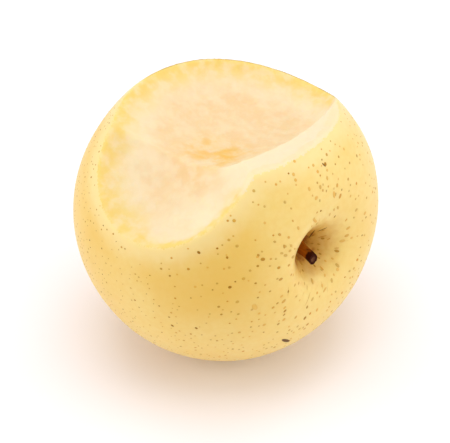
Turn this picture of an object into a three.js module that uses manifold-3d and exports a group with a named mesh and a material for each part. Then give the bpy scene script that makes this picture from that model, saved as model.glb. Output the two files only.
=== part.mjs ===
// A round golden pear, lying on its side with one large bite out of its upper side.
//
// Millimetres, +Z up. The origin is the middle of the small flat spot that the pear rests on.
// The pear is first made upright, with its growth axis along +Y and its stem end up. Then it is
// laid down, and only after that are the bite and the flat spot cut, so both are in the frame of
// the resting pear.
import * as THREE from 'three';
import { mergeVertices } from 'three/addons/utils/BufferGeometryUtils.js';
import Module from 'manifold-3d';

const wasm = await Module();
wasm.setup();

// ---- Driving dimensions -------------------------------------------------------------------

// Body of the fruit
const EQUATOR_RADIUS = 45;
const POLE_HEIGHT = 42; // from the centre to each end, before the hollows
const SHOULDER_FULLNESS = 0.06; // how far the shoulders stand out from a plain ellipse
const LOBES = [
  // gentle unevenness round the fruit: count, height as a share of the radius, turn in degrees
  { count: 2, height: 0.005, turn: 25 },
  { count: 5, height: 0.003, turn: 70 },
];

// Hollow round the stem: a steep pit inside a broad dish, which lies off to one side of it
const PIT_DEPTH = 12.5;
const PIT_RADIUS = 6.3;
const PIT_SHARPNESS = 1.7;
const DISH_DEPTH = 3.5;
const DISH_RADIUS = 14.5;
const DISH_OFFSET = 5;
const DISH_HEADING = 10; // degrees round the growth axis

// Hollow at the calyx end
const BASIN_DEPTH = 6;
const BASIN_RADIUS = 9;

// Stem
const STEM_LENGTH = 13.5; // from its buried foot to its cut end
const STEM_FOOT_RADIUS = 2.2;
const STEM_WAIST_RADIUS = 1.35;
const STEM_END_RADIUS = 1.55;
const STEM_EDGE = 0.25; // rounding at the cut end
const STEM_SINK = 2.5; // how deep the foot is set into the flesh
const STEM_LEAN = 1.9; // how far the cut end leans off the growth axis
const STEM_LEAN_HEADING = 136; // degrees round the growth axis
const GAP = 0.3; // between the stem and the flesh round its foot

// How the pear lies
const AXIS_HEADING = -48.5; // degrees from +X towards +Y
const AXIS_RISE = 8; // degrees that the stem end points up
const FRUIT_CENTRE = [0, 0, 43.6];

// The bite: ellipsoid scoops. centre is from the fruit's centre, and turn is X, Y, Z in degrees
const SCOOPS = [
  { name: 'main scoop', centre: [-19, -1.5, 48], radii: [60.5, 32.5, 20], turn: [10, 24, -153] },
  { name: 'shallow scoop', centre: [-25.5, -34.5, 66.5], radii: [43, 61, 49], turn: [29, -18, -23] },
  { name: 'lip', centre: [11.5, -8.5, 66], radii: [121.5, 35.5, 40.5], turn: [-111, -52, -15] },
];

// Fineness
const BODY_SIDES = 52;
const BODY_ROWS = 46;
const SCOOP_SIDES = 64;
const STEM_SIDES = 16;
const STEM_ROWS = 9;

// ---- Solids -------------------------------------------------------------------------------

const radians = THREE.MathUtils.degToRad;

// The solid inside a closed geometry, with its seams and poles welded.
function solidFrom(geometry) {
  const bare = geometry.clone();
  bare.deleteAttribute('normal');
  bare.deleteAttribute('uv');
  const welded = mergeVertices(bare, 1e-4);
  const corners = welded.index.array;
  const triangles = [];
  for (let i = 0; i < corners.length; i += 3) {
    const [a, b, c] = corners.slice(i, i + 3);
    const hasArea = a !== b && b !== c && c !== a;
    if (hasArea) triangles.push(a, b, c);
  }
  return new wasm.Manifold(
    new wasm.Mesh({
      numProp: 3,
      vertProperties: new Float32Array(welded.attributes.position.array),
      triVerts: new Uint32Array(triangles),
    }),
  );
}

// The geometry of a solid's surface.
function geometryFrom(solid) {
  const surface = solid.getMesh();
  const geometry = new THREE.BufferGeometry();
  geometry.setAttribute('position', new THREE.BufferAttribute(surface.vertProperties, 3));
  geometry.setIndex(new THREE.BufferAttribute(surface.triVerts, 1));
  geometry.computeVertexNormals();
  return geometry;
}

// Moves every vertex of a geometry by a function of its place.
function reshape(geometry, move) {
  const places = geometry.attributes.position;
  const point = new THREE.Vector3();
  for (let i = 0; i < places.count; i++) {
    point.fromBufferAttribute(places, i);
    move(point);
    places.setXYZ(i, point.x, point.y, point.z);
  }
  return geometry;
}

// ---- The upright pear ---------------------------------------------------------------------

const bell = (distance, width, sharpness = 2) => Math.exp(-((distance / width) ** sharpness));

// Half outline of the fruit from the calyx end to the stem end, with the pit and the basin.
function bodyOutline() {
  const fine = 400;
  const points = [];
  for (let i = 0; i <= fine; i++) {
    const latitude = Math.PI * (i / fine - 0.5);
    const rise = Math.sin(latitude);
    const radius = EQUATOR_RADIUS * Math.cos(latitude) * (1 + SHOULDER_FULLNESS * rise ** 2);
    const hollow =
      rise > 0 ? -PIT_DEPTH * bell(radius, PIT_RADIUS, PIT_SHARPNESS) : BASIN_DEPTH * bell(radius, BASIN_RADIUS);
    points.push(new THREE.Vector2(Math.max(radius, 0), POLE_HEIGHT * rise + hollow));
  }
  const outline = new THREE.SplineCurve(points).getSpacedPoints(BODY_ROWS);
  outline[0].x = 0;
  outline[BODY_ROWS].x = 0;
  return outline;
}

// Depth of the broad dish at a place on the stem end.
function dishDepth(x, z) {
  const heading = radians(DISH_HEADING);
  const across = x - DISH_OFFSET * Math.cos(heading);
  const along = z - DISH_OFFSET * Math.sin(heading);
  return DISH_DEPTH * bell(Math.hypot(across, along), DISH_RADIUS);
}

function uprightBody() {
  return reshape(new THREE.LatheGeometry(bodyOutline(), BODY_SIDES), (point) => {
    const angle = Math.atan2(point.z, point.x);
    let swell = 1;
    for (const lobe of LOBES) swell += lobe.height * Math.cos(lobe.count * angle + radians(lobe.turn));
    if (point.y > 0) point.y -= dishDepth(point.x, point.z);
    point.x *= swell;
    point.z *= swell;
  });
}

// The stem, or with a margin the socket that it leaves in the flesh.
function uprightStem(margin = 0) {
  const floor = POLE_HEIGHT - PIT_DEPTH - dishDepth(0, 0);
  const foot = floor - STEM_SINK - margin;
  const end = floor - STEM_SINK + STEM_LENGTH + margin;
  const outline = [new THREE.Vector2(0, foot)];
  for (let i = 0; i <= STEM_ROWS; i++) {
    const share = i / STEM_ROWS;
    const flare = (STEM_FOOT_RADIUS - STEM_WAIST_RADIUS) * bell(share, 0.3);
    const knob = (STEM_END_RADIUS - STEM_WAIST_RADIUS) * share ** 3;
    const height = foot + (end - STEM_EDGE - foot) * share;
    outline.push(new THREE.Vector2(STEM_WAIST_RADIUS + flare + knob + margin, height));
  }
  outline.push(new THREE.Vector2(STEM_END_RADIUS - STEM_EDGE + margin, end), new THREE.Vector2(0, end));
  const heading = radians(STEM_LEAN_HEADING);
  return reshape(new THREE.LatheGeometry(outline, STEM_SIDES), (point) => {
    const lean = STEM_LEAN * ((point.y - foot) / (end - foot)) ** 2;
    point.x += lean * Math.cos(heading);
    point.z += lean * Math.sin(heading);
  });
}

// ---- The resting pear ---------------------------------------------------------------------

// Turns the upright pear so that its growth axis lies along its heading and rise.
function layDown(geometry) {
  const axis = new THREE.Vector3(
    Math.cos(radians(AXIS_RISE)) * Math.cos(radians(AXIS_HEADING)),
    Math.cos(radians(AXIS_RISE)) * Math.sin(radians(AXIS_HEADING)),
    Math.sin(radians(AXIS_RISE)),
  );
  const side = new THREE.Vector3(0, 0, 1).cross(axis).normalize();
  const turned = new THREE.Matrix4().makeBasis(side, axis, side.clone().cross(axis));
  return geometry.applyMatrix4(turned).translate(...FRUIT_CENTRE);
}

function scoop({ centre, radii, turn }) {
  const geometry = new THREE.SphereGeometry(1, SCOOP_SIDES, SCOOP_SIDES / 2);
  const rotation = new THREE.Euler(...turn.map(radians), 'XYZ');
  const place = new THREE.Vector3(...centre).add(new THREE.Vector3(...FRUIT_CENTRE));
  geometry.applyMatrix4(
    new THREE.Matrix4().compose(place, new THREE.Quaternion().setFromEuler(rotation), new THREE.Vector3(...radii)),
  );
  return solidFrom(geometry);
}

// Everything below the surface that the pear rests on.
function ground() {
  const depth = 10;
  const width = 4 * EQUATOR_RADIUS;
  return solidFrom(new THREE.BoxGeometry(width, width, depth).translate(0, 0, -depth / 2));
}

function fruit() {
  let solid = solidFrom(layDown(uprightBody()));
  for (const dimensions of SCOOPS) solid = solid.subtract(scoop(dimensions));
  solid = solid.subtract(solidFrom(layDown(uprightStem(GAP))));
  return geometryFrom(solid.subtract(ground()));
}

// ---- Parts --------------------------------------------------------------------------------

function part(name, geometry, look) {
  const mesh = new THREE.Mesh(geometry, new THREE.MeshStandardMaterial({ metalness: 0, ...look }));
  mesh.name = name;
  return mesh;
}

const pear = new THREE.Group();
pear.add(part('fruit', fruit(), { color: 0xf0d27a, roughness: 0.45 }));
pear.add(part('stem', geometryFrom(solidFrom(layDown(uprightStem()))), { color: 0x5c3d18, roughness: 0.8 }));

export default pear;
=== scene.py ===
"""The looks of a round golden pear that lies on its side with one large bite out of its upper side.

It is laid out as a Blender add-on and run as a script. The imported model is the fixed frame: the
pear rests on z = 0, with the origin in the middle of its rest spot, and all sizes are in metres.
"""
import math

import bpy
from mathutils import Euler, Matrix, Vector


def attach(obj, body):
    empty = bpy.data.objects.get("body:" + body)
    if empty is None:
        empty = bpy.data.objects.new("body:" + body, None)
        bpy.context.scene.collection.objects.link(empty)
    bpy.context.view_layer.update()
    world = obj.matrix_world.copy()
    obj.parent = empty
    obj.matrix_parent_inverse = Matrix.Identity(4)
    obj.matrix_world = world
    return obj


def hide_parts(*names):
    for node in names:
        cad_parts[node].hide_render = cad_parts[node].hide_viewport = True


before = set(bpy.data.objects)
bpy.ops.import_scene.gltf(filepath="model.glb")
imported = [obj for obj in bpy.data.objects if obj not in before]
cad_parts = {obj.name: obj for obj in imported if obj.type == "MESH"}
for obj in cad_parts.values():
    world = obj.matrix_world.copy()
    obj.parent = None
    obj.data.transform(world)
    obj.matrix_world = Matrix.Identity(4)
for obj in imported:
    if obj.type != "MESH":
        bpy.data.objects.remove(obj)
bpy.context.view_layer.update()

bl_info = {
    "name": "Bitten golden pear",
    "version": (1, 0, 0),
    "blender": (4, 5, 0),
    "location": "3D View > Sidebar > Pear",
    "description": "Makes a round golden pear with a bite out of it, and a studio stage",
    "category": "Add Mesh",
}

MM = 0.001
BODY = "root"

# How the pear lies: the growth axis runs from the calyx end to the stem end.
AXIS_HEADING = math.radians(-48.5)
AXIS_RISE = math.radians(8)
FRUIT_CENTRE = Vector((0, 0, 43.6)) * MM
# The deepest gold faces this way. It is partly the sunned side's own colour, and partly painted shade
# on the front of the fruit, where less light falls.
SUN_AND_SHADE_SIDE = (-0.75, 0.24, 0.62)  # the way that the deepest gold faces, in the growth frame
FAR_SIDE = (0.7, 0.0, -0.7)  # the way to the bite's far edge, in the growth frame
BROWNED_SPOT = Vector((-7, 19, 7)) * MM  # in the bite, where the flesh is tan, in the growth frame
STEM_FLOOR_HEIGHT = 26.2 * MM  # of the pit's floor above the fruit's centre, along the growth axis
STEM_SUNK = 2.5 * MM  # how far the stem goes into the flesh
STEM_LEAN = (1.9 * MM, -136)  # of its cut end off the growth axis, and its heading in degrees
DISH_OFFSET = (5 * MM, -10)  # of the dish round the pit, likewise
LOBES = ((2.0, 0.005, -25), (5.0, 0.003, -70))  # round the fruit: how many, how high, turn in degrees

# The dry end opposite the stem: a scar in a raised corky ring.
CALYX_SCAR_RADIUS = 1.7 * MM
CALYX_RING_RADIUS = 3.4 * MM
CALYX_RING_WIDTH = 0.8 * MM
CALYX_RING_HEIGHT = 0.4 * MM

# Rough surfaces: the size of their lumps, their height, and how much fine detail they have.
SCOOP_WAVES = (8 * MM, 0.7 * MM, 2.0)
SCOOP_TEARS = (2.4 * MM, 0.5 * MM, 3.0)
FLESH_LUMPS = (6 * MM, 0.8 * MM, 2.0)
FLESH_GRAINS = (1.8 * MM, 0.2 * MM, 2.0)

# How far the marks stand out from the skin, and how deep their edges are sunk into it.
DOT_HEIGHT = 0.05 * MM
STREAK_HEIGHT = 0.04 * MM
BLEMISH_HEIGHT = 0.06 * MM
MARK_SUNK = 0.01 * MM
BLEMISH_START = 60 * MM  # from the fruit's centre, where a blemish is before it drops onto the skin

# The studio, in metres and watts: the lights' names, places, sizes and powers.
LIGHTS = (
    ("top_light", (0.0, 0.0, 1.04), 0.8, 4.4),
    ("left_light", (-0.94, 0.0, 0.385), 0.6, 2.4),
    ("right_light", (0.94, 0.0, 0.385), 0.6, 2.4),
)
FLOOR_HALF = 3.0
CAMERA_SHIFT = (-0.59 * MM, -4.25 * MM)  # sideways and up, from a view straight at the fruit's centre

# The bite's ellipsoid scoops, in millimetres from the fruit's centre and in degrees: centre, radii,
# turn about Z, then Y, then X, and how fresh it is, from 0 to 1, because flesh browns in the air.
SCOOPS = (
    ("Main scoop", (-19, -1.5, 48), (60.5, 32.5, 20), (10, 24, -153), 0.0),
    ("Shallow scoop", (-25.5, -34.5, 66.5), (43, 61, 49), (29, -18, -23), 0.0),
    ("Lip scoop", (11.5, -8.5, 66), (121.5, 35.5, 40.5), (-111, -52, -15), 1.0),
)

# Blemishes on the skin: latitude and heading in degrees, length and breadth in millimetres, turn from
# the line to the stem in degrees, how dark it is (over 1 is a scab), and how orange.
BLEMISHES = (
    (50.2, -112, 5.6, 1.4, 63, 1.6, 0.0),  # an old scab low on the stem end
    (54.6, 75, 1.6, 0.5, 45, 1.3, 0.0),  # a nick and its dot
    (52.7, 75.6, 0.6, 0.45, -20, 1.0, 0.0),
    (84.4, -2, 3.6, 0.45, 59, 1.5, 0.1),  # the crack along the lip of the hollow
    (81.7, 25, 4.6, 0.4, 44, 1.45, 0.2),
    (79, 34, 3.4, 0.35, 5, 1.4, 0.2),
    (81.7, 13, 1.2, 0.3, 23, 1.0, 0.3),  # short cracks inside the hollow
    (79.5, 7, 2.7, 0.35, 12, 0.9, 0.4),
    (78, -1, 1.3, 0.35, 33, 0.8, 0.5),
    (81.8, -21, 0.9, 0.25, 20, 1.0, 0.2),
    (75.6, -20, 1.5, 0.3, 13, 0.8, 0.4),
    (77.5, -67, 1.7, 0.45, 3, 0.8, 0.6),
    (75.6, -72, 1.0, 0.8, -19, 0.5, 1.0),
    (79.7, -129, 1.3, 0.3, -27, 0.6, 0.4),  # streaks over the near lip
    (75.5, -120, 1.8, 0.25, 2, 0.8, 0.3),
    (71.5, -116, 4.4, 0.2, 7, 0.6, 0.3),
    (65.6, 66, 2.1, 1.1, 30, 0.6, 1.0),  # broad orange dots
    (64.9, 89, 1.4, 1.1, -58, 0.55, 0.9),
    (73.3, 95, 3.4, 0.9, 20, 0.55, 0.8),
    (59.4, 74, 1.3, 0.8, 7, 0.6, 0.7),
    (72.6, -51, 1.3, 1.1, 8, 0.5, 1.0),
    (71.9, -84, 2.0, 0.8, -42, 0.55, 0.8),
    (71.4, 10, 1.6, 1.0, -7, 0.6, 0.7),
    (38.4, 159, 1.0, 0.8, -28, 1.1, 0.0),  # dark dots on the near side
    (48.1, 159, 0.8, 0.7, -55, 0.95, 0.0),
    (26, -163, 1.0, 0.75, -60, 1.0, 0.0),
    (34.5, -161, 1.0, 0.75, -68, 1.0, 0.0),
    (67.6, 144, 1.3, 0.6, -52, 0.8, 0.1),
    (58.7, 155, 0.9, 0.8, -37, 0.8, 0.1),
    (57, -165, 2.4, 1.6, -80, 0.35, 0.9),  # a small rusty patch
)


def growth_turn():
    """The rotation from the growth frame, where +Z is the stem end, to the way the pear lies."""
    level = math.cos(AXIS_RISE)
    axis = Vector((level * math.cos(AXIS_HEADING), level * math.sin(AXIS_HEADING), math.sin(AXIS_RISE)))
    side = Vector((0, 0, 1)).cross(axis).normalized()
    return Matrix((side, axis.cross(side), axis)).transposed()


# ---- Small tools ---------------------------------------------------------------------------------


def linear(code):
    """An sRGB hex colour as linear RGBA."""
    values = [int(code[i : i + 2], 16) / 255 for i in (1, 3, 5)]
    return (*(v / 12.92 if v <= 0.04045 else ((v + 0.055) / 1.055) ** 2.4 for v in values), 1.0)


def fill(tree, node, inputs):
    """Fills a node's inputs, by place or by name, from values, sockets or nodes. None is skipped."""
    pairs = inputs.items() if isinstance(inputs, dict) else enumerate(inputs)
    for key, value in pairs:
        if value is None:
            continue
        if isinstance(value, bpy.types.Node):
            value = next(output for output in value.outputs if output.enabled)
        if isinstance(value, bpy.types.NodeSocket):
            tree.links.new(value, node.inputs[key])
        else:
            node.inputs[key].default_value = value


def add(tree, kind, inputs=(), **settings):
    """Adds a node with its settings and inputs."""
    node = tree.nodes.new(kind)
    for name, value in settings.items():
        setattr(node, name, value)
    fill(tree, node, inputs)
    return node


def maths(tree, operation, *inputs, **settings):
    """A sum on numbers."""
    return add(tree, "ShaderNodeMath", inputs, operation=operation, **settings)


def vectors(tree, operation, *inputs):
    """A sum on vectors. Gives its number if it makes one, and otherwise its vector."""
    node = add(tree, "ShaderNodeVectorMath", inputs, operation=operation)
    return node.outputs["Value" if operation in {"LENGTH", "DISTANCE", "DOT_PRODUCT"} else "Vector"]


def scaled(tree, vector, amount):
    """A vector times a number."""
    return add(tree, "ShaderNodeVectorMath", {0: vector, "Scale": amount}, operation="SCALE")


def height_of(tree, vector):
    """The third number of a vector."""
    return add(tree, "ShaderNodeSeparateXYZ", [vector]).outputs[2]


def ramp(tree, value, *ends, way="SMOOTHSTEP"):
    """A value spread between two ends, so that it runs from 0 to 1 or between a second pair of ends."""
    return add(tree, "ShaderNodeMapRange", (value, *ends), interpolation_type=way)


def noise(tree, size, detail, place=None):
    """Noise of a real grain size, from 0 to 1."""
    inputs = {"Vector": place, "Scale": 1 / size, "Detail": detail}
    return add(tree, "ShaderNodeTexNoise", inputs).outputs["Fac"]


def stored(tree, geometry, name, field, domain="POINT"):
    """Geometry that keeps a field as a named attribute, one number to each of its parts."""
    return add(tree, "GeometryNodeStoreNamedAttribute", [geometry, True, name, field], domain=domain)


def attribute(tree, name, kind="FLOAT"):
    """A named attribute, read in a geometry tree."""
    return add(tree, "GeometryNodeInputNamedAttribute", [name], data_type=kind).outputs["Attribute"]


def painted(tree, name):
    """A named attribute, read in a material."""
    return add(tree, "ShaderNodeAttribute", attribute_name=name).outputs["Fac"]


def nearest(tree, geometry, wanted, element="FACES"):
    """The Distance to a geometry, or its nearest Position."""
    return add(tree, "GeometryNodeProximity", [geometry], target_element=element).outputs[wanted]


def moved(tree, geometry, place):
    """Geometry with its points at new places."""
    return add(tree, "GeometryNodeSetPosition", {"Geometry": geometry, "Position": place})


def new_tree(name, values):
    """A geometry tree with one named input for each value. Returns it and its inputs."""
    tree = bpy.data.node_groups.new(name, "GeometryNodeTree")
    tree.interface.new_socket("Geometry", in_out="OUTPUT", socket_type="NodeSocketGeometry")
    tree.interface.new_socket("Geometry", in_out="INPUT", socket_type="NodeSocketGeometry")
    kinds = {int: "NodeSocketInt", float: "NodeSocketFloat", bpy.types.Object: "NodeSocketObject"}
    for label, value in values.items():
        kind = kinds.get(type(value), "NodeSocketVector")
        tree.interface.new_socket(label, in_out="INPUT", socket_type=kind)
    return tree, add(tree, "NodeGroupInput").outputs


def end_tree(tree, geometry, material, selection=None):
    """Ends a tree: everything is made real, and all of it or a selection is given its material."""
    whole = add(tree, "GeometryNodeRealizeInstances", [geometry])
    add(tree, "NodeGroupOutput", [add(tree, "GeometryNodeSetMaterial", [whole, selection, material])])


def run_tree(name, mesh, tree, values):
    """Runs a geometry tree on a mesh and returns a plain object that holds the result."""
    source = bpy.data.objects.new(name + "_source", mesh)
    bpy.context.scene.collection.objects.link(source)
    modifier = source.modifiers.new("Shape", "NODES")
    modifier.node_group = tree
    for item in tree.interface.items_tree:
        if item.in_out == "INPUT" and item.name in values:
            modifier[item.identifier] = values[item.name]
    graph = bpy.context.evaluated_depsgraph_get()
    result = bpy.data.meshes.new_from_object(source.evaluated_get(graph))
    bpy.data.objects.remove(source)
    if not result.polygons:
        raise RuntimeError(name + ": the tree made no faces")
    result.name = name
    piece = bpy.data.objects.new(name, result)
    bpy.context.scene.collection.objects.link(piece)
    return piece


def bell(tree, distance, width, height, sharpness=2.0):
    """A rounded hump: height at no distance, and next to nothing past its width."""
    share = maths(tree, "DIVIDE", distance, width)
    power = maths(tree, "POWER", share, sharpness)
    fall = maths(tree, "EXPONENT", maths(tree, "MULTIPLY", power, -1.0))
    return maths(tree, "MULTIPLY", fall, height)


def push_out(tree, geometry, amount):
    """Moves a surface along its normals by an amount."""
    offset = scaled(tree, add(tree, "GeometryNodeInputNormal"), amount)
    return add(tree, "GeometryNodeSetPosition", {"Geometry": geometry, "Offset": offset})


def grain(tree, size, height, detail=2.0):
    """Noise of a real grain size, from minus to plus half its height."""
    centred = maths(tree, "SUBTRACT", noise(tree, size, detail), 0.5)
    return maths(tree, "MULTIPLY", centred, height)


# ---- Materials -----------------------------------------------------------------------------------


def new_material(name):
    """An empty material with its tree, its surface shader and its output."""
    material = bpy.data.materials.new(name)
    material.use_nodes = True
    tree = material.node_tree
    tree.nodes.clear()
    shader = add(tree, "ShaderNodeBsdfPrincipled")
    add(tree, "ShaderNodeOutputMaterial", {"Surface": shader})
    return material, tree, shader


def growth_place(tree):
    """Where a point of the piece is in the growth frame, in metres from the fruit's centre."""
    place = add(tree, "ShaderNodeTexCoord").outputs["Object"]
    turn = growth_turn().to_euler()
    return add(tree, "ShaderNodeMapping", {0: place, 1: FRUIT_CENTRE, 2: turn}, vector_type="TEXTURE")


def noise_between(tree, place, size, low, high, detail=3.0):
    """Noise of a real size, spread so that it runs from 0 at low to 1 at high."""
    return ramp(tree, noise(tree, size, detail, place), low, high)


def blend(tree, share, first, second):
    """One colour laid over another by a share."""
    return add(tree, "ShaderNodeMix", {0: share, 6: first, 7: second}, data_type="RGBA").outputs[2]


def bump(tree, height, strength, distance):
    """A fine relief that only the light sees."""
    return add(tree, "ShaderNodeBump", {"Strength": strength, "Distance": distance, "Height": height})


def sun_and_shade_share(tree, place):
    """How far a point of the fruit faces the deep-gold side, from 0 to 1. This is partly how much sun
    it had, and partly painted shade on the front, which faces the camera and gets less light.
    """
    facing = vectors(tree, "DOT_PRODUCT", vectors(tree, "NORMALIZE", place), SUN_AND_SHADE_SIDE)
    return ramp(tree, facing, 0.87, 0.99)


def skin_colour(tree, place, colours):
    """The colour of ripe skin: two golds in soft clouds, faint mottling, and russeted golden brown in
    the hollows. The deeper gold on one side is partly sunned colour and partly painted shade on the
    front, and the hollows are partly painted shade.
    """
    clouds = noise_between(tree, place, 26 * MM, 0.25, 0.75)
    cloudy = maths(tree, "MULTIPLY", clouds, 0.45)
    height = height_of(tree, place)
    calyx_half = ramp(tree, height, 16 * MM, -8 * MM, 0.0, 0.4, way="SMOOTHERSTEP")
    # Painted shade: the front of the fruit gets the deeper gold. This is partly the sunned skin's own
    # colour.
    deeper = maths(tree, "MULTIPLY_ADD", sun_and_shade_share(tree, place), 0.6, cloudy)
    deepened = maths(tree, "ADD", deeper, calyx_half, use_clamp=True)
    gold = blend(tree, deepened, colours.skin_pale, colours.skin_deep)
    mottle = noise_between(tree, place, 1.6 * MM, 0.3, 0.75, 4.0)
    weak = maths(tree, "MULTIPLY", mottle, 0.25)
    mottled = blend(tree, weak, gold, colours.skin_deep)
    # The pit and dish round the stem are russeted. This is partly the skin's own weathering, and partly
    # painted shade and bounced light of the hollow.
    sideways = vectors(tree, "MULTIPLY", place, (1.0, 1.0, 0.0))
    radius = vectors(tree, "LENGTH", sideways)
    wobble = noise_between(tree, place, 2 * MM, 0.2, 0.8, 4.0)
    wavy = maths(tree, "MULTIPLY_ADD", wobble, -3 * MM, radius)
    hollow = ramp(tree, wavy, 11 * MM, 0.0)
    russeted_and_shaded = blend(tree, hollow, mottled, colours.pit_russet_and_shade)
    foot = ramp(tree, wavy, 3.6 * MM, 0.8 * MM)
    return blend(tree, foot, russeted_and_shaded, colours.stem_bark)


def shaded_far_rim(tree, place, inner, colours):
    """A colour with a painted shade laid over it: a darker line along the bite's thin far edge."""
    near = ramp(tree, painted(tree, "rim"), 0.55 * MM, 0.1 * MM)
    side = vectors(tree, "DOT_PRODUCT", place, FAR_SIDE)
    far = ramp(tree, side, 10 * MM, 20 * MM)
    patchy = noise_between(tree, place, 5 * MM, 0.1, 0.6)
    share = maths(tree, "MULTIPLY", maths(tree, "MULTIPLY", near, far), patchy)
    return blend(tree, share, inner, colours.far_rim_shade)


def ripe_skin(colours):
    """Waxy skin: a thin smooth rind over pale flesh, so light sinks in and glows back."""
    material, tree, shader = new_material("ripe_pear_skin")
    place = growth_place(tree)
    # Close to the bite the bruised skin lets the flesh show through.
    ragged = noise_between(tree, place, 2.5 * MM, 0.2, 0.8, 4.0)
    torn = maths(tree, "MULTIPLY_ADD", ragged, 1.5 * MM, painted(tree, "rim"))
    bruised = ramp(tree, torn, 0.5 * MM, 10 * MM, 0.8, 0.0, way="SMOOTHERSTEP")
    edged = blend(tree, bruised, skin_colour(tree, place, colours), colours.skin_bruised)
    peel = noise(tree, 0.7 * MM, 2.0, place)
    # The bite's far edge gets a painted shade line over the skin's colour.
    look = {
        "Base Color": shaded_far_rim(tree, place, edged, colours),
        "Roughness": 0.42,
        "IOR": 1.44,
        "Sheen Weight": 0.05,
        "Sheen Roughness": 0.5,
        "Subsurface Weight": 0.25,
        "Subsurface Radius": (1.0, 0.6, 0.25),
        "Subsurface Scale": 4 * MM,
        "Normal": bump(tree, peel, 0.12, 0.2 * MM),
    }
    fill(tree, shader, look)
    return material


def moist_flesh(colours):
    """Crisp wet flesh: yellow under the skin, cream further in, peach deepest, and one tan spot."""
    material, tree, shader = new_material("moist_pear_flesh")
    depth = painted(tree, "depth")
    fresh = painted(tree, "freshness")
    place = growth_place(tree)
    # The band under the skin is thin where the bite is fresh or the sun was strong.
    thinned = maths(tree, "MULTIPLY_ADD", sun_and_shade_share(tree, place), 0.7, fresh)
    rind = ramp(tree, thinned, 0.0, 0.7, 9 * MM, 2 * MM, way="LINEAR")
    ragged = noise_between(tree, place, 7 * MM, 0.2, 0.8, 2.0)
    uneven = maths(tree, "MULTIPLY_ADD", ragged, 1.8 * MM, depth)
    inward = maths(tree, "ADD", uneven, -1.8 * MM)
    under_skin = ramp(tree, inward, 0.0, rind)
    inner = ramp(tree, depth, 6 * MM, 16 * MM)
    clouds = noise_between(tree, place, 11 * MM, 0.32, 0.68, 3.0)
    peachy = maths(tree, "MULTIPLY_ADD", clouds, 0.5, inner, use_clamp=True)
    warm = blend(tree, peachy, colours.flesh_cream, colours.flesh_warm)
    newest = ramp(tree, fresh, 0.1, 0.9)
    pale = blend(tree, newest, warm, colours.flesh_fresh)
    faded = maths(tree, "MULTIPLY", newest, 0.8)
    no_rind = maths(tree, "MAXIMUM", under_skin, faded)
    rinded = blend(tree, no_rind, colours.flesh_rind, pale)
    from_spot = vectors(tree, "DISTANCE", place, BROWNED_SPOT)
    near_spot = ramp(tree, from_spot, 16 * MM, 4 * MM)
    patch = noise_between(tree, place, 6 * MM, 0.3, 0.65, 3.0)
    browned = maths(tree, "MULTIPLY", near_spot, patch)
    tan = blend(tree, browned, rinded, colours.flesh_tan)
    mottle = noise_between(tree, place, 3.5 * MM, 0.38, 0.66, 5.0)
    weak = maths(tree, "MULTIPLY", mottle, 0.5)
    mottled = blend(tree, weak, tan, colours.flesh_fresh)
    cells = noise(tree, 0.8 * MM, 2.0, place)
    # The bite's far edge gets a painted shade line over the flesh's colour.
    look = {
        "Base Color": shaded_far_rim(tree, place, mottled, colours),
        "Roughness": 0.5,
        "IOR": 1.36,
        "Subsurface Weight": 0.5,
        "Subsurface Radius": (1.0, 0.7, 0.4),
        "Subsurface Scale": 5 * MM,
        "Normal": bump(tree, cells, 0.3, 0.25 * MM),
    }
    fill(tree, shader, look)
    return material


def corky_marks(colours):
    """Lenticels, cracks and scars: dry cork, darkest in the middle and fading into the gold."""
    material, tree, shader = new_material("corky_skin_marks")
    tone = painted(tree, "tone")
    cork = blend(tree, painted(tree, "warmth"), colours.cork, colours.fresh_cork)
    scabbed = blend(tree, ramp(tree, tone, 0.9, 1.5, way="LINEAR"), cork, colours.scab)
    fade = ramp(tree, painted(tree, "core"), 0.0, 0.55)
    share = maths(tree, "MULTIPLY", fade, tone, use_clamp=True)
    faded = blend(tree, share, skin_colour(tree, growth_place(tree), colours), scabbed)
    fill(tree, shader, {"Base Color": faded, "Roughness": 0.6, "Specular IOR Level": 0.25})
    return material


def dry_stem(colours):
    """Woody stem: orange bark drawn into fibres, and a dark dried end with paler pith in its middle."""
    material, tree, shader = new_material("dry_pear_stem")
    place = growth_place(tree)
    along = add(tree, "ShaderNodeMapping", {0: place, 3: (1.0, 1.0, 0.15)})
    fibres = noise_between(tree, along, 0.45 * MM, 0.35, 0.65)
    uneven = noise_between(tree, place, 1.5 * MM, 0.3, 0.7)
    edge = maths(tree, "MULTIPLY_ADD", uneven, 0.12, painted(tree, "share"))
    dark = ramp(tree, edge, 0.84, 0.96)
    streak = maths(tree, "MULTIPLY", fibres, 0.45)
    bark = blend(tree, streak, colours.stem_bark, colours.scab)
    dried = blend(tree, dark, bark, colours.stem_end)
    ring = ramp(tree, painted(tree, "pith"), 0.35, 0.75)
    speckled = ramp(tree, uneven, 0.0, 1.0, 0.35, 1.0, way="LINEAR")
    broken = maths(tree, "MULTIPLY", ring, speckled)
    look = {
        "Base Color": blend(tree, broken, dried, colours.pith),
        "Roughness": 0.7,
        "Specular IOR Level": 0.05,
        "Normal": bump(tree, fibres, 0.5, 0.15 * MM),
    }
    fill(tree, shader, look)
    return material


# ---- The fruit -----------------------------------------------------------------------------------


def round_ball(tree, fineness):
    """A ball of even faces, with a radius of 1."""
    return add(tree, "GeometryNodeMeshIcoSphere", {"Radius": 1.0, "Subdivisions": fineness})


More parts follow.
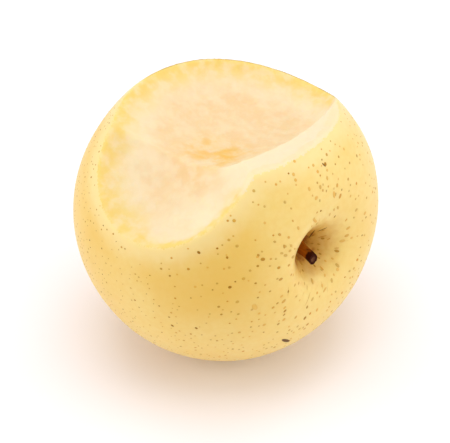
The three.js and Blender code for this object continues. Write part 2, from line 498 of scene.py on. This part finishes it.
def grow_body(tree, sizes):
    """The whole fruit in its growth frame: a sphere reshaped by the rule of the pear's outline."""
    ball = round_ball(tree, sizes["Skin fineness"])
    place = add(tree, "GeometryNodeInputPosition")
    height = height_of(tree, place)
    # Points crowd towards both ends, where the hollows need them.
    fourth = maths(tree, "POWER", maths(tree, "ABSOLUTE", height), 4.0)
    crowd = maths(tree, "MULTIPLY_ADD", fourth, -0.45, 1.0)
    narrowing = add(tree, "ShaderNodeCombineXYZ", [crowd, crowd, 1.0])
    narrowed = vectors(tree, "MULTIPLY", place, narrowing)
    point = add(tree, "ShaderNodeSeparateXYZ", [vectors(tree, "NORMALIZE", narrowed)])
    across, along, rise = point.outputs
    # The outline: an ellipse with fuller shoulders, gently lobed.
    squared = maths(tree, "MULTIPLY", rise, rise)
    fuller = maths(tree, "MULTIPLY_ADD", squared, sizes["Shoulder fullness"], 1.0)
    width = maths(tree, "MULTIPLY", fuller, sizes["Equator radius"])
    angle = maths(tree, "ARCTAN2", along, across)
    swell = 1.0
    for count, lobe, turn in LOBES:
        wave = maths(tree, "MULTIPLY_ADD", angle, count, math.radians(turn))
        swell = maths(tree, "MULTIPLY_ADD", maths(tree, "COSINE", wave), lobe, swell)
    plain = add(tree, "ShaderNodeCombineXYZ", [across, along, 0.0])
    flat = scaled(tree, plain, width)
    radius = vectors(tree, "LENGTH", flat)
    # The hollows: a steep pit in a broad dish at the stem end, and a basin at the calyx end.
    pit = bell(tree, radius, sizes["Pit radius"], sizes["Pit depth"], sizes["Pit sharpness"])
    from_dish = vectors(tree, "DISTANCE", flat, sizes["Dish offset"])
    dish = bell(tree, from_dish, sizes["Dish radius"], sizes["Dish depth"])
    basin = bell(tree, radius, sizes["Basin radius"], sizes["Basin depth"])
    scar = bell(tree, radius, CALYX_SCAR_RADIUS, sizes["Calyx scar depth"])
    off_ring = maths(tree, "ADD", radius, -CALYX_RING_RADIUS)
    ring = bell(tree, maths(tree, "ABSOLUTE", off_ring), CALYX_RING_WIDTH, -CALYX_RING_HEIGHT)
    worn = maths(tree, "ADD", maths(tree, "ADD", basin, scar), ring)
    hollow = maths(tree, "MULTIPLY", maths(tree, "ADD", pit, dish), -1.0)
    stem_side = maths(tree, "GREATER_THAN", rise, 0.0)
    drop = add(tree, "ShaderNodeMix", [stem_side, None, worn, hollow])
    lift = maths(tree, "MULTIPLY_ADD", rise, sizes["Pole height"], drop)
    swollen = scaled(tree, flat, swell)
    raised = add(tree, "ShaderNodeCombineXYZ", [0.0, 0.0, lift])
    grown = vectors(tree, "ADD", swollen, raised)
    return moved(tree, ball, grown)


def lay_down(tree, geometry, sizes):
    """The body as it lies, a little uneven as grown things are, and no lower than the floor."""
    laid = add(tree, "GeometryNodeTransform", {0: geometry, 1: sizes["Centre"], 2: sizes["Turn"]})
    uneven = push_out(tree, laid, grain(tree, 24 * MM, sizes["Unevenness"]))
    floor = vectors(tree, "MAXIMUM", add(tree, "GeometryNodeInputPosition"), (-1.0, -1.0, 0.0))
    return moved(tree, uneven, floor)


def scoop(tree, label, sizes, flesh):
    """One scoop of the bite, as an ellipsoid with a torn surface."""
    ball = round_ball(tree, sizes["Flesh fineness"])
    shape = {0: ball, 1: sizes[label], 2: sizes[label + " turn"], 3: sizes[label + " radii"]}
    placed = add(tree, "GeometryNodeTransform", shape)
    waves = push_out(tree, placed, grain(tree, *SCOOP_WAVES))
    torn = push_out(tree, waves, grain(tree, *SCOOP_TEARS))
    dated = stored(tree, torn, "fresh", sizes[label + " freshness"], "FACE")
    return add(tree, "GeometryNodeSetMaterial", {"Geometry": dated, "Material": flesh})


def fruit_tree(values, skin, flesh):
    """The fruit: the grown body, less the bite, with its flesh softened and given its grain."""
    tree, sizes = new_tree("Pear fruit", values)
    body = lay_down(tree, grow_body(tree, sizes), sizes)
    coated = add(tree, "GeometryNodeSetMaterial", {"Geometry": body, "Material": skin})
    bitten = add(tree, "GeometryNodeMeshBoolean", [coated], operation="DIFFERENCE", solver="MANIFOLD")
    for label, *_ in SCOOPS:
        tree.links.new(scoop(tree, label, sizes, flesh).outputs[0], bitten.inputs[1])
    # Each face is flesh or skin, so an edge between the two, on the bite's rim, has a share of half.
    is_flesh = add(tree, "GeometryNodeMaterialSelection", {"Material": flesh})
    marked = stored(tree, bitten, "flesh", is_flesh, "FACE")
    share = attribute(tree, "flesh")
    on_rim = maths(tree, "COMPARE", share, 0.5, 0.4)
    rim = add(tree, "GeometryNodeSeparateGeometry", [marked, on_rim], domain="EDGE")
    from_rim = nearest(tree, rim, "Distance", "EDGES")
    all_flesh = maths(tree, "GREATER_THAN", share, 0.999)
    inside = ramp(tree, from_rim, 0.0, 2.0 * MM)
    freedom = maths(tree, "MULTIPLY", inside, all_flesh)
    # What the materials need to know is stored before the shape changes.
    is_fresh = maths(tree, "GREATER_THAN", attribute(tree, "fresh"), 0.5)
    freshest = add(tree, "GeometryNodeSeparateGeometry", [marked, is_fresh], domain="FACE")
    freshness = ramp(tree, nearest(tree, freshest, "Distance"), 0.0, 12 * MM, 1.0, 0.0)
    known = stored(tree, marked, "depth", nearest(tree, body, "Distance"))
    for name, field in (("rim", from_rim), ("freshness", freshness)):
        known = stored(tree, known, name, field)
    # The creases between scoops and the torn edge are worn soft, then the flesh gets lumps and grain.
    at_edge = ramp(tree, attribute(tree, "rim"), 0.0, 2.4 * MM, 1.0, 0.0, way="LINEAR")
    shape = known
    for rounds, weight in ((7, freedom), (8, at_edge)):
        inputs = [add(tree, "GeometryNodeInputPosition"), rounds, weight]
        blurred = add(tree, "GeometryNodeBlurAttribute", inputs, data_type="FLOAT_VECTOR")
        shape = moved(tree, shape, blurred)
    for rough in (FLESH_LUMPS, FLESH_GRAINS):
        shape = push_out(tree, shape, maths(tree, "MULTIPLY", grain(tree, *rough), freedom))
    smooth = add(tree, "GeometryNodeSetShadeSmooth", [shape, True, True])
    # The boolean has given both surfaces their materials, and the flesh is set again at the end.
    end_tree(tree, smooth, flesh, is_flesh)
    return tree


# ---- Marks on the skin ---------------------------------------------------------------------------


def mark_shape(tree, rings):
    """A ball on its side, whose length runs along X. Its core value is 1 on top and 0 at its edge."""
    ball = add(tree, "GeometryNodeMeshUVSphere", {"Segments": 8, "Rings": rings, "Radius": 1.0})
    lying = add(tree, "GeometryNodeTransform", {0: ball, "Rotation": (0.0, math.pi / 2, 0.0)})
    return stored(tree, lying, "core", height_of(tree, add(tree, "GeometryNodeInputPosition")))


def outward(tree, fruit):
    """The way that the nearest skin faces."""
    inputs = [fruit, add(tree, "GeometryNodeInputNormal")]
    return add(tree, "GeometryNodeSampleNearestSurface", inputs, data_type="FLOAT_VECTOR")


def lay_marks(tree, marks, values, fruit, height, material):
    """Gives each mark its values, and bends it to the skin so that its top stands out by its height."""
    for name, value in values.items():
        marks = stored(tree, marks, name, value, "INSTANCE")
    real = add(tree, "GeometryNodeRealizeInstances", [marks])
    smooth = add(tree, "GeometryNodeSetShadeSmooth", [real, True, True])
    rise = maths(tree, "MULTIPLY_ADD", attribute(tree, "core"), height, -MARK_SUNK)
    lift = scaled(tree, outward(tree, fruit), rise)
    spot = vectors(tree, "ADD", nearest(tree, fruit, "Position"), lift)
    end_tree(tree, moved(tree, smooth, spot), material)


def chance(tree, low, high, seed):
    """A random value for each mark."""
    values = {2: low, 3: high, "Seed": seed}
    return add(tree, "FunctionNodeRandomValue", values, data_type="FLOAT").outputs[1]


def whereabouts(tree, sizes):
    """How far a point is up the growth axis, and how far out from it."""
    place = add(tree, "GeometryNodeInputPosition")
    from_centre = vectors(tree, "SUBTRACT", place, sizes["Centre"])
    rise = vectors(tree, "DOT_PRODUCT", from_centre, sizes["Axis"])
    on_axis = scaled(tree, sizes["Axis"], rise)
    return rise, vectors(tree, "DISTANCE", from_centre, on_axis)


def free_skin(tree, margin):
    """1 on the skin off the floor and a margin or more away from the bite, and 0 elsewhere."""
    skin = maths(tree, "LESS_THAN", attribute(tree, "flesh"), 0.001)
    clear = maths(tree, "GREATER_THAN", attribute(tree, "rim"), margin)
    level = height_of(tree, add(tree, "GeometryNodeInputPosition"))
    raised = maths(tree, "GREATER_THAN", level, 0.3 * MM)
    outside = maths(tree, "MULTIPLY", skin, raised)
    return maths(tree, "MULTIPLY", outside, clear)


def scattered(tree, sizes, factor, spacing, rings, scale):
    """Marks spread at random over the skin. They face outwards, with their length towards the stem."""
    spread = {0: sizes[0], "Distance Min": spacing, "Density Max": sizes["Density"]}
    spread.update({"Density Factor": factor, "Seed": sizes["Seed"]})
    points = add(tree, "GeometryNodeDistributePointsOnFaces", spread, distribute_method="POISSON")
    turn = add(tree, "FunctionNodeAxesToRotation", [points.outputs["Normal"], sizes["Axis"]])
    mark = mark_shape(tree, rings)
    return add(tree, "GeometryNodeInstanceOnPoints", {0: points, 2: mark, 5: turn, 6: scale})


def dots_tree(values, material):
    """Lenticels on the skin: small and close at the calyx end, large and sparse at the stem."""
    tree, sizes = new_tree("Pear skin dots", values)
    rise, radius = whereabouts(tree, sizes)
    stem_share = ramp(tree, rise, -12 * MM, 32 * MM)
    thinning = ramp(tree, stem_share, 0.0, 1.0, 1.0, sizes["Stem end share"], way="LINEAR")
    factor = maths(tree, "MULTIPLY", thinning, free_skin(tree, 0.8 * MM))
    rare_large = maths(tree, "POWER", chance(tree, 0.0, 1.0, 11), 3.0)
    growth = maths(tree, "MULTIPLY_ADD", rare_large, 0.7, 0.7)
    usual = ramp(tree, rise, 14 * MM, 42 * MM, sizes["Small dot"], sizes["Large dot"], way="LINEAR")
    breadth = maths(tree, "MULTIPLY", usual, growth)
    # Near the stem the skin has grown lengthways, and has drawn the dots out with it.
    near_stem = ramp(tree, radius, 24 * MM, 6 * MM, 0.0, 1.2, way="LINEAR")
    drawn_out = maths(tree, "MULTIPLY", near_stem, stem_share)
    stretch = maths(tree, "MULTIPLY_ADD", drawn_out, chance(tree, 0.2, 1.1, 3), 1.05)
    extent = maths(tree, "MULTIPLY", breadth, stretch)
    scale = add(tree, "ShaderNodeCombineXYZ", [extent, breadth, sizes["Dot height"]])
    dots = scattered(tree, sizes, factor, sizes["Spacing"], 5, scale)
    rare_dark = maths(tree, "POWER", chance(tree, 0.0, 1.0, 5), 2.5)
    least = ramp(tree, stem_share, 0.0, 1.0, 0.7, 0.5, way="LINEAR")
    looks = {
        "tone": maths(tree, "MULTIPLY_ADD", rare_dark, 0.5, least),
        "warmth": maths(tree, "MULTIPLY", chance(tree, -0.4, 1.1, 9), stem_share, use_clamp=True),
    }
    lay_marks(tree, dots, looks, sizes[0], sizes["Dot height"], material)
    return tree


def streaks_tree(values, material):
    """Fine corky streaks that run down into the hollow round the stem."""
    tree, sizes = new_tree("Pear skin streaks", values)
    rise, radius = whereabouts(tree, sizes)
    stem_end = maths(tree, "GREATER_THAN", rise, 20 * MM)
    crowding = ramp(tree, radius, sizes["Reach"], 2 * MM, 0.0, 1.0, way="LINEAR")
    free = maths(tree, "MULTIPLY", stem_end, free_skin(tree, 2 * MM))
    factor = maths(tree, "MULTIPLY", crowding, free)
    extent = chance(tree, 0.5 * MM, 1.9 * MM, 6)
    breadth = chance(tree, 0.05 * MM, 0.12 * MM, 2)
    scale = add(tree, "ShaderNodeCombineXYZ", [extent, breadth, DOT_HEIGHT])
    streaks = scattered(tree, sizes, factor, 0.8 * MM, 10, scale)
    looks = {"tone": chance(tree, 0.15, 0.6, 8), "warmth": chance(tree, 0.0, 0.7, 7)}
    lay_marks(tree, streaks, looks, sizes[0], STREAK_HEIGHT, material)
    return tree


def blemishes_tree(values, material):
    """Blemishes at chosen places: each point is dropped towards the fruit's centre onto the skin."""
    tree, sizes = new_tree("Pear skin blemishes", values)
    fruit = add(tree, "GeometryNodeObjectInfo", [sizes["Fruit"]]).outputs["Geometry"]
    place = add(tree, "GeometryNodeInputPosition")
    inward = vectors(tree, "SUBTRACT", sizes["Centre"], place)
    ray = {"Target Geometry": fruit, "Ray Direction": inward, "Ray Length": 1.0}
    hit = add(tree, "GeometryNodeRaycast", ray).outputs["Hit Position"]
    landed = moved(tree, sizes[0], hit)
    facing = add(tree, "FunctionNodeAxesToRotation", [outward(tree, fruit), sizes["Axis"]])
    twist = add(tree, "FunctionNodeAxisAngleToRotation", [(0.0, 0.0, 1.0), attribute(tree, "turn")])
    turn = add(tree, "FunctionNodeRotateRotation", [facing, twist], rotation_space="LOCAL")
    inputs = {0: landed, 2: mark_shape(tree, 14), 5: turn, 6: attribute(tree, "size", "FLOAT_VECTOR")}
    marks = add(tree, "GeometryNodeInstanceOnPoints", inputs)
    lay_marks(tree, marks, {}, fruit, BLEMISH_HEIGHT, material)
    return tree


def blemish_points():
    """A mesh with a point for each blemish, outside the fruit, and its size, turn and colour."""
    places, extents, turns, tones, warmths = [], [], [], [], []
    for latitude, heading, extent, breadth, turn, tone, warmth in BLEMISHES:
        way = Euler((0, math.radians(-latitude), math.radians(heading))).to_matrix().col[0]
        places.append(FRUIT_CENTRE + growth_turn() @ way * BLEMISH_START)
        extents += [extent / 2 * MM, breadth / 2 * MM, BLEMISH_HEIGHT]
        turns.append(math.radians(turn))
        tones.append(tone)
        warmths.append(warmth)
    mesh = bpy.data.meshes.new("blemish_points")
    mesh.from_pydata(places, [], [])
    mesh.attributes.new("size", "FLOAT_VECTOR", "POINT").data.foreach_set("vector", extents)
    for name, values in (("turn", turns), ("tone", tones), ("warmth", warmths)):
        mesh.attributes.new(name, "FLOAT", "POINT").data.foreach_set("value", values)
    return mesh


# ---- The stem ------------------------------------------------------------------------------------


def stem_tree(values, material):
    """The stem: a round bar reshaped to a flared foot, a thin waist and a thicker cut end."""
    tree, sizes = new_tree("Pear stem", values)
    bar = {"Vertices": 48, "Side Segments": 44, "Fill Segments": 8, "Radius": 1.0, "Depth": 1.0}
    marked = add(tree, "GeometryNodeMeshCylinder", bar, fill_type="TRIANGLE_FAN")
    place = add(tree, "GeometryNodeInputPosition")
    across, along, level = add(tree, "ShaderNodeSeparateXYZ", [place]).outputs
    share = maths(tree, "ADD", level, 0.5)
    foot = maths(tree, "SUBTRACT", sizes["Foot radius"], sizes["Waist radius"])
    knob = maths(tree, "SUBTRACT", sizes["End radius"], sizes["Waist radius"])
    flare = bell(tree, share, sizes["Foot length"], foot)
    cube = maths(tree, "POWER", share, 3.0)
    thick = maths(tree, "MULTIPLY_ADD", cube, knob, flare)
    radius = maths(tree, "ADD", thick, sizes["Waist radius"])
    plain = add(tree, "ShaderNodeCombineXYZ", [across, along, 0.0])
    round_place = scaled(tree, plain, radius)
    bend = maths(tree, "POWER", share, 2.0)
    lean = scaled(tree, sizes["Lean"], bend)
    height = maths(tree, "MULTIPLY", share, sizes["Length"])
    raised = add(tree, "ShaderNodeCombineXYZ", [0.0, 0.0, height])
    leaning = vectors(tree, "ADD", round_place, lean)
    spot = vectors(tree, "ADD", leaning, raised)
    inward = maths(tree, "SUBTRACT", 1.0, vectors(tree, "LENGTH", plain))
    for name, field in (("share", share), ("pith", inward)):
        marked = stored(tree, marked, name, field)
    shaped = moved(tree, marked, spot)
    furrows = vectors(tree, "MULTIPLY", add(tree, "GeometryNodeInputPosition"), (1.0, 1.0, 0.12))
    depth = maths(tree, "MULTIPLY_ADD", noise(tree, 0.7 * MM, 3.0, furrows), 0.45 * MM, -0.25 * MM)
    rough = push_out(tree, shaped, depth)
    laid = add(tree, "GeometryNodeTransform", {0: rough, 1: sizes["Foot"], 2: sizes["Turn"]})
    end_tree(tree, add(tree, "GeometryNodeSetShadeSmooth", [laid, True, True]), material)
    return tree


# ---- What a user can change ------------------------------------------------------------------------


def colour(label, about, code):
    """A colour that a user can change."""
    return bpy.props.FloatVectorProperty(
        name=label, description=about, default=linear(code), size=4, subtype="COLOR", min=0, max=1
    )


def number(label, about, value, **more):
    """A number that a user can change."""
    return bpy.props.FloatProperty(name=label, description=about, default=value, **more)


def length(label, about, size):
    """A length that a user can change."""
    return number(label, about, size, unit="LENGTH", precision=5)


class PearColours(bpy.types.PropertyGroup):
    """Colours of the pear."""

    skin_pale: colour("Pale skin", "The paler gold of the skin", "#F4D680")
    skin_deep: colour("Deep skin", "The deeper gold of the skin", "#EDBF4C")
    skin_bruised: colour("Bruised skin", "The thin pale skin by the torn edge", "#F8DF98")
    # Painted shade: a darker line along the bite's far edge, on skin and flesh.
    far_rim_shade: colour("Far rim shade", "Painted shade along the bite's far edge", "#BE9A48")
    # Partly the skin's own russeted colour, partly painted shade of the hollows round the stem.
    pit_russet_and_shade: colour("Russet", "Golden brown russeted skin in the hollows, with painted shade", "#D69C22")
    flesh_rind: colour("Flesh under the skin", "Yellow flesh close under the skin", "#EFD074")
    flesh_cream: colour("Cream flesh", "Pale flesh of the bite", "#F3E2BA")
    flesh_warm: colour("Warm flesh", "Deeper flesh, a little rosy", "#EFCF9C")
    flesh_fresh: colour("Fresh flesh", "The palest flesh, where the bite is freshest", "#F3E0B8")
    flesh_tan: colour("Tan flesh", "Flesh that has browned in the middle of the bite", "#EFBC58")
    cork: colour("Cork", "Golden brown cork of the skin dots", "#B27A08")
    fresh_cork: colour("Fresh cork", "Orange cork of the broad dots at the stem end", "#E09A28")
    scab: colour("Scab", "Dark dried cork of scars and cracks", "#6A4410")
    stem_bark: colour("Stem bark", "Orange brown bark of the stem", "#A85C0C")
    stem_end: colour("Stem end", "Dark dry wood of the stem's cut end", "#381204")
    pith: colour("Pith", "Paler pith in the middle of the cut end", "#7A5034")


class PearFruit(bpy.types.PropertyGroup):
    """Sizes of the fruit."""

    # Both are a hair under the part's 45 and 42 mm, so that the dots stay inside its box.
    equator_radius: length("Equator radius", "Half the fruit's widest width", 44.9 * MM)
    pole_height: length("Pole height", "From the centre to each end, before the hollows", 41.95 * MM)
    shoulder_fullness: number("Shoulder fullness", "How far the shoulders pass a plain ellipse", 0.06)
    pit_depth: length("Pit depth", "Depth of the steep pit round the stem", 12.5 * MM)
    pit_radius: length("Pit radius", "Width of the pit from its middle", 6.3 * MM)
    dish_depth: length("Dish depth", "Depth of the broad dish round the pit", 3.5 * MM)
    dish_radius: length("Dish radius", "Width of the dish from its middle", 14.5 * MM)
    unevenness: length("Unevenness", "How uneven the grown surface is", 0.5 * MM)


class PearMarks(bpy.types.PropertyGroup):
    """Sizes and spread of the marks on the skin."""

    small_dot: length("Small dot", "Half the width of the dots at the calyx end", 0.24 * MM)
    large_dot: length("Large dot", "Half the width of the dots at the stem end", 0.45 * MM)
    dots: number("Dots", "Dots in a square metre at the calyx end", 260000)
    streaks: number("Streaks", "Streaks in a square metre close to the stem", 90000)
    seed: bpy.props.IntProperty(name="Seed", description="Which random spread is used", default=4)


class PearStem(bpy.types.PropertyGroup):
    """Sizes of the stem."""

    length: length("Length", "From the buried foot to the cut end", 13.5 * MM)
    end_radius: length("End radius", "Half the cut end's width", 1.55 * MM)


class PearStage(bpy.types.PropertyGroup):
    """The studio round the pear."""

    lens: number("Lens", "Focal length in millimetres", 100)
    elevation: number("Elevation", "How far the camera looks down", math.radians(38), subtype="ANGLE")
    distance: length("Distance", "From the camera to the fruit's centre", 366 * MM)


# ---- Operators -----------------------------------------------------------------------------------


class PEAR_OT_fruit(bpy.types.Operator):
    """Makes the fruit with its bite, skin and flesh"""

    bl_idname = "pear.fruit"
    bl_label = "Fruit"

    def execute(self, context):
        sizes = context.scene.pear_fruit
        colours = context.scene.pear_colours
        values = {
            "Equator radius": sizes.equator_radius,
            "Pole height": sizes.pole_height,
            "Shoulder fullness": sizes.shoulder_fullness,
            "Pit depth": sizes.pit_depth,
            "Pit radius": sizes.pit_radius,
            "Pit sharpness": 1.7,
            "Dish depth": sizes.dish_depth,
            "Dish radius": sizes.dish_radius,
            "Dish offset": turned_offset(*DISH_OFFSET),
            "Basin depth": 6 * MM,
            "Basin radius": 9 * MM,
            "Calyx scar depth": 1.4 * MM,
            "Unevenness": sizes.unevenness,
            "Centre": tuple(FRUIT_CENTRE),
            "Turn": tuple(growth_turn().to_euler()),
            "Skin fineness": 7,
            "Flesh fineness": 8,
        }
        for label, centre, radii, turn, freshness in SCOOPS:
            turned = Euler([math.radians(angle) for angle in turn], "ZYX").to_matrix().to_euler()
            values[label] = tuple(Vector(centre) * MM + FRUIT_CENTRE)
            values[label + " radii"] = tuple(Vector(radii) * MM)
            values[label + " turn"] = tuple(turned)
            values[label + " freshness"] = freshness
        tree = fruit_tree(values, ripe_skin(colours), moist_flesh(colours))
        fruit = run_tree("pear_fruit", bpy.data.meshes.new("seed"), tree, values)
        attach(fruit, BODY)
        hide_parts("fruit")
        return {"FINISHED"}


class PEAR_OT_marks(bpy.types.Operator):
    """Scatters the corky dots and streaks over the skin, and adds its blemishes"""

    bl_idname = "pear.marks"
    bl_label = "Marks on the skin"

    def execute(self, context):
        sizes = context.scene.pear_marks
        cork = corky_marks(context.scene.pear_colours)
        fruit = bpy.data.objects["pear_fruit"]
        place = {"Axis": tuple(growth_turn().col[2]), "Centre": tuple(FRUIT_CENTRE)}
        dots = {
            "Spacing": 1.2 * MM,
            "Density": sizes.dots,
            "Stem end share": 0.55,
            "Small dot": sizes.small_dot,
            "Large dot": sizes.large_dot,
            "Dot height": DOT_HEIGHT,
            "Seed": sizes.seed,
        }
        streaks = {"Reach": 17 * MM, "Density": sizes.streaks, "Seed": sizes.seed}
        made = (
            ("skin_dots", fruit.data.copy(), dots_tree, {**place, **dots}),
            ("skin_streaks", fruit.data.copy(), streaks_tree, {**place, **streaks}),
            ("skin_blemishes", blemish_points(), blemishes_tree, {**place, "Fruit": fruit}),
        )
        for name, mesh, make_tree, values in made:
            piece = run_tree(name, mesh, make_tree(values, cork), values)
            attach(piece, BODY)
        return {"FINISHED"}


class PEAR_OT_stem(bpy.types.Operator):
    """Makes the woody stem"""

    bl_idname = "pear.stem"
    bl_label = "Stem"

    def execute(self, context):
        sizes = context.scene.pear_stem
        foot = FRUIT_CENTRE + growth_turn() @ Vector((0, 0, STEM_FLOOR_HEIGHT - STEM_SUNK))
        values = {
            "Length": sizes.length,
            "Foot radius": 3.4 * MM,
            "Foot length": 0.42,
            "Waist radius": 1.35 * MM,
            "End radius": sizes.end_radius,
            "Lean": turned_offset(*STEM_LEAN),
            "Foot": tuple(foot),
            "Turn": tuple(growth_turn().to_euler()),
        }
        tree = stem_tree(values, dry_stem(context.scene.pear_colours))
        stem = run_tree("pear_stem", bpy.data.meshes.new("seed"), tree, values)
        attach(stem, BODY)
        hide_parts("stem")
        return {"FINISHED"}


class PEAR_OT_stage(bpy.types.Operator):
    """Makes the floor, the lights and the camera"""

    bl_idname = "pear.stage"
    bl_label = "Stage"

    def execute(self, context):
        scene = context.scene
        scene.view_settings.view_transform = "Standard"
        make_floor()
        make_world()
        for light in LIGHTS:
            make_light(*light)
        make_camera(scene.pear_stage)
        return {"FINISHED"}


def turned_offset(distance, heading):
    """A step off the growth axis, by a distance and a heading in degrees round it."""
    angle = math.radians(heading)
    return (distance * math.cos(angle), distance * math.sin(angle), 0.0)


def make_floor():
    """A plain white floor."""
    half = FLOOR_HALF
    corners = [(-half, -half, 0), (half, -half, 0), (half, half, 0), (-half, half, 0)]
    mesh = bpy.data.meshes.new("floor")
    mesh.from_pydata(corners, [], [(0, 1, 2, 3)])
    floor = bpy.data.objects.new("floor", mesh)
    bpy.context.scene.collection.objects.link(floor)
    material, tree, shader = new_material("white_card")
    fill(tree, shader, {"Base Color": (1.0, 0.965, 0.975, 1), "Roughness": 0.9})
    mesh.materials.append(material)


def make_world():
    """Soft white light from all round."""
    world = bpy.data.worlds.new("studio")
    world.use_nodes = True
    world.node_tree.nodes.clear()
    sky = add(world.node_tree, "ShaderNodeBackground", {"Color": (1.0, 1.0, 1.06, 1), "Strength": 0.65})
    add(world.node_tree, "ShaderNodeOutputWorld", {"Surface": sky})
    bpy.context.scene.world = world


def make_light(name, place, size, power):
    """A square soft box that faces the fruit."""
    light = bpy.data.lights.new(name, "AREA")
    light.size = size
    light.energy = power
    lamp = bpy.data.objects.new(name, light)
    lamp.location = place
    lamp.rotation_euler = (Vector(place) - FRUIT_CENTRE).to_track_quat("Z", "Y").to_euler()
    bpy.context.scene.collection.objects.link(lamp)


def make_camera(stage):
    """A long lens that looks down at the pear, which sits a little above the middle of the view."""
    camera = bpy.data.cameras.new("camera")
    camera.lens = stage.lens
    camera.sensor_width = 36
    camera.clip_start = 0.01
    view = bpy.data.objects.new("camera", camera)
    turn = Matrix.Rotation(math.pi / 2 - stage.elevation, 3, "X")
    view.rotation_euler = turn.to_euler()
    view.location = FRUIT_CENTRE + turn @ Vector((*CAMERA_SHIFT, stage.distance))
    bpy.context.scene.collection.objects.link(view)
    bpy.context.scene.camera = view


class PEAR_PT_panel(bpy.types.Panel):
    """The pear's steps and settings"""

    bl_label = "Golden pear"
    bl_space_type = "VIEW_3D"
    bl_region_type = "UI"
    bl_category = "Pear"

    def draw(self, context):
        for operator, settings in STEPS:
            box = self.layout.box()
            box.operator(operator.bl_idname)
            group = getattr(context.scene, settings)
            for name in group.bl_rna.properties.keys():
                if name not in {"rna_type", "name"}:
                    box.prop(group, name)
        colours = self.layout.box()
        for name in PearColours.__annotations__:
            colours.prop(context.scene.pear_colours, name)


STEPS = (
    (PEAR_OT_fruit, "pear_fruit"),
    (PEAR_OT_marks, "pear_marks"),
    (PEAR_OT_stem, "pear_stem"),
    (PEAR_OT_stage, "pear_stage"),
)
GROUPS = {
    "pear_colours": PearColours,
    "pear_fruit": PearFruit,
    "pear_marks": PearMarks,
    "pear_stem": PearStem,
    "pear_stage": PearStage,
}


def register():
    for name, group in GROUPS.items():
        bpy.utils.register_class(group)
        setattr(bpy.types.Scene, name, bpy.props.PointerProperty(type=group))
    for operator, _ in STEPS:
        bpy.utils.register_class(operator)
    bpy.utils.register_class(PEAR_PT_panel)


def unregister():
    bpy.utils.unregister_class(PEAR_PT_panel)
    for operator, _ in reversed(STEPS):
        bpy.utils.unregister_class(operator)
    for name, group in reversed(GROUPS.items()):
        delattr(bpy.types.Scene, name)
        bpy.utils.unregister_class(group)


def main():
    register()
    bpy.ops.pear.stage()
    bpy.ops.pear.fruit()
    bpy.ops.pear.marks()
    bpy.ops.pear.stem()


if __name__ == "__main__":
    main()
